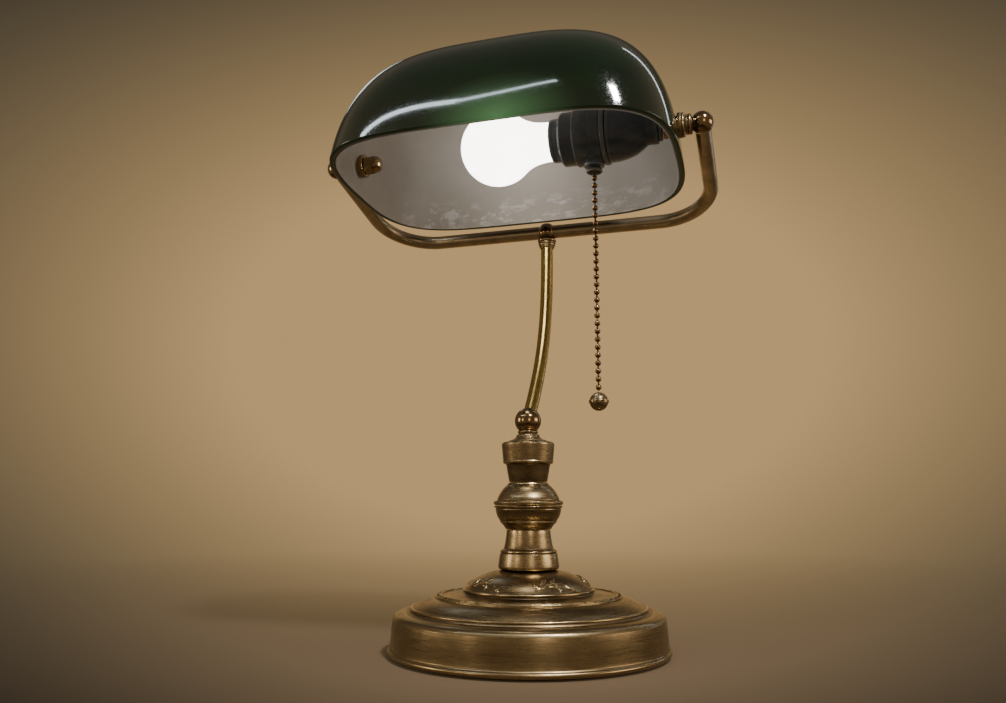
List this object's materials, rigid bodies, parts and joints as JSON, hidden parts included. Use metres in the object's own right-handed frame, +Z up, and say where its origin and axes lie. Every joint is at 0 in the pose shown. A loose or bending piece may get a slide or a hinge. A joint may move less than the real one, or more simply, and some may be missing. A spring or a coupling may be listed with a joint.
{
  "type": "banker desk lamp",
  "caption": "Desk lamp with a weighted round brass base, turned column, swivelling swan-neck arm, U-shaped yoke, tilting long green glass shade, lampholder with bulb, and a bead pull chain.",
  "frame": {"origin": "centre of the felt pad's underside, on the surface the lamp stands on", "axes": "+Z up along the column; +X along the shade towards the lampholder's end; -Y towards the front, where the shade overhangs the base"},
  "size_m": [0.2536, 0.2012, 0.3772],
  "materials": {
    "antique_brass": "antique lacquer, brushed round the turning, edges worn bright",
    "polished_brass": "polished and lacquered",
    "chain_brass": "satin, slightly tarnished",
    "cast_iron": "as cast",
    "zinc_steel": "zinc plated",
    "felt": "green baize",
    "rubber": "moulded",
    "green_glass": "glossy cased glass, dark green outside over an opal white lining",
    "bakelite": "moulded black, glossy",
    "opal_glass": "white coated lamp glass, lit",
    "nickel": "nickel plated",
    "clear_glass": "clear",
    "tungsten": "drawn wire"
  },
  "bodies": {
    "base": {"felt_pad": "felt", "base_shell": "antique_brass", "base_weight": "cast_iron", "base_washer": "zinc_steel", "base_nut": "zinc_steel", "cord_bushing": "bakelite", "threaded_rod": "zinc_steel", "column_foot": "antique_brass", "vase_lower": "antique_brass", "vase_upper": "antique_brass", "column_collar": "antique_brass", "column_cap": "antique_brass"},
    "swivel": {"swivel_cup": "antique_brass", "swivel_stud": "zinc_steel", "ball_washer": "zinc_steel", "ball_nut": "zinc_steel"},
    "arm": {"arm_ball": "polished_brass", "arm_tube": "antique_brass", "arm_ferrule": "antique_brass", "tee_nipple": "zinc_steel", "tee_ball": "polished_brass", "yoke_left": "antique_brass", "yoke_right": "antique_brass", "elbow_left": "polished_brass", "elbow_right": "polished_brass", "neck_ring_left": "antique_brass", "neck_ring_right": "antique_brass"},
    "shade": {"shade_glass": "green_glass", "collar_left": "antique_brass", "collar_right": "antique_brass", "gasket_outer_left": "rubber", "gasket_outer_right": "rubber", "gasket_inner_left": "rubber", "gasket_inner_right": "rubber", "nipple_left": "zinc_steel", "nipple_right": "zinc_steel", "inner_washer": "polished_brass", "acorn_nut": "polished_brass", "locknut": "polished_brass", "socket_bushing": "bakelite", "socket_cap": "bakelite", "socket_body": "bakelite", "socket_collar": "bakelite", "switch_block": "bakelite", "screw_shell": "polished_brass", "centre_contact": "nickel", "bell_mouth": "bakelite", "bulb_glass": "opal_glass", "bulb_base": "nickel", "bulb_insulator": "bakelite", "bulb_contact": "nickel", "bulb_stem": "clear_glass", "bulb_filament": "tungsten"},
    "pulley": {"switch_pulley": "polished_brass"},
    "pull": {"chain_lead": "chain_brass"},
    "chain_top": {"chain_upper": "chain_brass"},
    "chain_mid": {"chain_middle": "chain_brass"},
    "chain_end": {"chain_lower": "chain_brass", "chain_ball": "chain_brass"}
  },
  "joints": [
    {"name": "arm_swivel", "type": "hinge", "parent": "base", "child": "swivel", "pos_m": [0, 0, 0.1433], "axis": [0, 0, 1], "range_deg": [-150, 150]},
    {"name": "arm_tilt", "type": "hinge", "parent": "swivel", "child": "arm", "pos_m": [0, 0, 0.1433], "axis": [1, 0, 0], "range_deg": [-12, 12]},
    {"name": "shade_tilt", "type": "hinge", "parent": "arm", "child": "shade", "pos_m": [0, -0.0431, 0.3126], "axis": [1, 0, 0], "range_deg": [-40, 40]},
    {"name": "chain_pull", "type": "slide", "parent": "shade", "child": "pull", "axis": [0, 0, -1], "range_m": [0, 0.007], "stiffness_N_per_m": 300, "springref_m": -0.002},
    {"name": "pulley_turn", "type": "hinge", "parent": "shade", "child": "pulley", "pos_m": [0.055, -0.0373, 0.309], "axis": [1, 0, 0], "range_deg": [0, 75]},
    {"name": "chain_hang", "type": "hinge", "parent": "pull", "child": "chain_top", "pos_m": [0.055, -0.0431, 0.2857], "axis": [1, 0, 0], "range_deg": [-42, 42]},
    {"name": "chain_sway", "type": "hinge", "parent": "chain_top", "child": "chain_mid", "pos_m": [0.055, -0.0431, 0.24304], "axis": [0, 1, 0], "range_deg": [-60, 60]},
    {"name": "chain_swing", "type": "hinge", "parent": "chain_mid", "child": "chain_end", "pos_m": [0.055, -0.0431, 0.20038], "axis": [1, 0, 0], "range_deg": [-60, 60]}
  ],
  "couplings": [
    {"joint": "pulley_turn", "follows": "chain_pull", "rad_per_m": 172.4},
    {"joint": "chain_hang", "follows": "shade_tilt", "ratio": -1}
  ]
}
